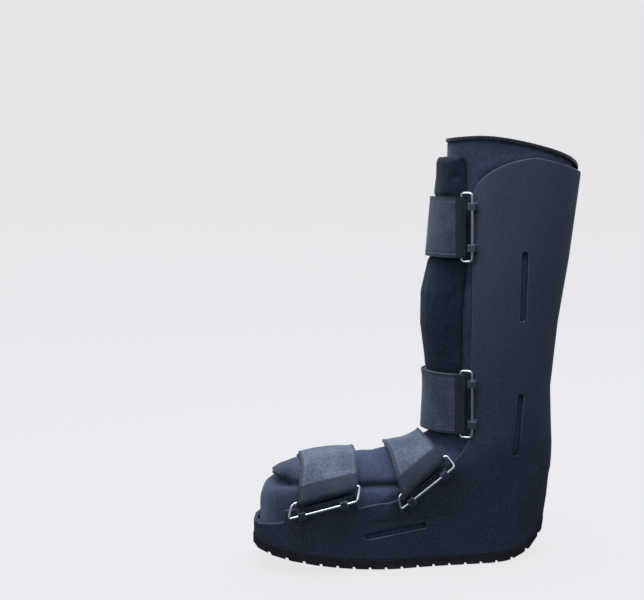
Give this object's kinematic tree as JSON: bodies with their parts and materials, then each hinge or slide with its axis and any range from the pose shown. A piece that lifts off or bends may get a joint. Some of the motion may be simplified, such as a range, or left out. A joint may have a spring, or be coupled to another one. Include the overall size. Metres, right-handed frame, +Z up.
{
  "type": "immobilizer boot",
  "caption": "Tall walker boot with moulded shell, rocker sole, padded liner and hook-and-loop straps through wire loops, for holding a foot and ankle still.",
  "frame": {"origin": "on the ground under the middle of the sole's length, on the sole's flat tread", "axes": "+X points to the toe, +Y to the boot's left side, +Z up along the calf"},
  "size_m": [0.3277, 0.1312, 0.4167],
  "materials": {
    "shell_plastic": "black moulded shell, fine grain",
    "sole_rubber": "black rubber with cross grooves",
    "liner_fabric": "dark blue-black padded brushed fabric",
    "panel_fabric": "dark padded brushed fabric",
    "strap_webbing": "grey-blue loop pile strap",
    "wire": "bright plated wire and eyelets"
  },
  "bodies": {
    "root": {"shell": "shell_plastic", "outsole": "sole_rubber", "liner": "liner_fabric", "shin_panel": "panel_fabric", "strap_calf_upper": "strap_webbing", "strap_calf_lower": "strap_webbing", "strap_instep": "strap_webbing", "strap_forefoot": "strap_webbing", "loop_calf_upper": "wire", "loop_calf_lower": "wire", "loop_instep": "wire", "loop_forefoot": "wire", "rivet_instep": "wire", "rivet_forefoot": "wire"}
  },
  "joints": []
}
